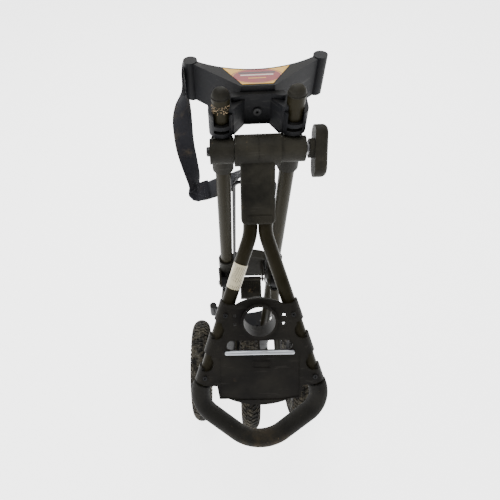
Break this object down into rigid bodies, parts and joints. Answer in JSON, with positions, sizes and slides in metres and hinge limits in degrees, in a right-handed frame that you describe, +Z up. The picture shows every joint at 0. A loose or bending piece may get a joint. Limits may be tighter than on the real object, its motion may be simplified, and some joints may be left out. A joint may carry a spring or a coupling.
{
  "type": "folding golf push cart",
  "caption": "Folding push cart on knobby wheels with a hinged looped handle, moulded console, winged bag brackets and a carrying strap, stored folded and upright.",
  "frame": {"origin": "middle of the bounding box at floor level, cart folded and standing on its wheels and heel", "axes": "+Z up along the frame tubes, +Y towards the side that carries the bag, +X across the cart"},
  "size_m": [0.348, 0.5278, 1.0523],
  "materials": {
    "frame_paint": "satin black powder coat, dusty",
    "bracket_plastic": "fine-textured black moulding",
    "hinge_plastic": "black moulding dulled by dust",
    "console_plastic": "black moulding, matt",
    "steel": "bright zinc plate",
    "black_rod": "gloss black dip coat",
    "grip_foam": "closed-cell foam, scuffed",
    "tyre_rubber": "dusty black rubber",
    "wheel_plastic": "black nylon",
    "bright_strip": "anodised strip",
    "sticker": "printed vinyl",
    "paper_label": "cream vinyl label",
    "webbing": "woven polyester webbing",
    "pad_fabric": "grey-black padded fabric",
    "foot_rubber": "moulded rubber"
  },
  "bodies": {
    "frame": {"frame_tube_left": "frame_paint", "frame_tube_right": "frame_paint", "fork_arm_left": "frame_paint", "fork_arm_right": "frame_paint", "tube_cap_left": "hinge_plastic", "tube_cap_right": "hinge_plastic", "clamp_sleeve_left": "hinge_plastic", "clamp_sleeve_right": "hinge_plastic", "leg_bracket": "hinge_plastic", "upper_bracket": "bracket_plastic", "lower_bracket": "bracket_plastic", "base_shelf": "bracket_plastic", "hinge_washer": "steel", "fork_bolts": "steel", "front_axle": "steel", "axle_nuts": "steel", "paddle_pin": "steel", "leg_pin_left": "steel", "leg_pin_right": "steel", "brace_rod": "black_rod", "bracket_screw": "black_rod", "hinge_bolt": "black_rod", "bracket_label": "sticker", "bag_strap": "webbing", "strap_pad": "pad_fabric", "base_feet": "foot_rubber"},
    "handle": {"handle_stem": "hinge_plastic", "stem_band": "hinge_plastic", "handle_tube": "frame_paint", "console": "console_plastic", "card_clip": "bright_strip", "console_screws": "black_rod", "handle_grip": "grip_foam", "tube_label": "paper_label"},
    "clamp_knob": {"clamp_knob": "hinge_plastic", "knob_insert": "steel"},
    "release_paddle": {"release_paddle": "hinge_plastic"},
    "left_leg": {"leg_knuckle_left": "bracket_plastic", "leg_tube_left": "frame_paint", "axle_block_left": "bracket_plastic", "rear_axle_left": "steel"},
    "right_leg": {"leg_knuckle_right": "bracket_plastic", "leg_tube_right": "frame_paint", "axle_block_right": "bracket_plastic", "rear_axle_right": "steel"},
    "front_wheel": {"tyre_front": "tyre_rubber", "rim_front": "wheel_plastic", "bearings_front": "steel"},
    "left_wheel": {"tyre_left": "tyre_rubber", "rim_left": "wheel_plastic", "bearings_left": "steel", "hub_cap_left": "wheel_plastic"},
    "right_wheel": {"tyre_right": "tyre_rubber", "rim_right": "wheel_plastic", "bearings_right": "steel", "hub_cap_right": "wheel_plastic"}
  },
  "joints": [
    {"name": "handle_hinge", "type": "hinge", "parent": "frame", "child": "handle", "pos_m": [0, 0.12791, 0.95], "axis": [-1, 0, 0], "range_deg": [-30, 120]},
    {"name": "clamp_knob_turn", "type": "hinge", "parent": "frame", "child": "clamp_knob", "pos_m": [0.097, 0.12791, 0.95], "axis": [1, 0, 0], "range_deg": [0, 180]},
    {"name": "release_press", "type": "hinge", "parent": "frame", "child": "release_paddle", "pos_m": [0, 0.11591, 0.552], "axis": [1, 0, 0], "range_deg": [0, 18], "stiffness_Nm_per_rad": 0.4, "springref_deg": -14.32},
    {"name": "left_leg_fold", "type": "hinge", "parent": "frame", "child": "left_leg", "pos_m": [-0.05835, 0.11291, 0.545], "axis": [-0.9848, 0, -0.1736], "range_deg": [0, 72]},
    {"name": "right_leg_fold", "type": "hinge", "parent": "frame", "child": "right_leg", "pos_m": [0.05835, 0.11291, 0.545], "axis": [-0.9848, 0, 0.1736], "range_deg": [0, 72]},
    {"name": "front_wheel_spin", "type": "hinge", "parent": "frame", "child": "front_wheel", "pos_m": [0, -0.00509, 0.155], "axis": [1, 0, 0], "continuous": true},
    {"name": "left_wheel_spin", "type": "hinge", "parent": "left_leg", "child": "left_wheel", "pos_m": [-0.147, 0.02291, 0.155], "axis": [1, 0, 0], "continuous": true},
    {"name": "right_wheel_spin", "type": "hinge", "parent": "right_leg", "child": "right_wheel", "pos_m": [0.147, 0.02291, 0.155], "axis": [1, 0, 0], "continuous": true}
  ],
  "couplings": [
    {"joint": "right_leg_fold", "follows": "left_leg_fold", "ratio": 1}
  ]
}
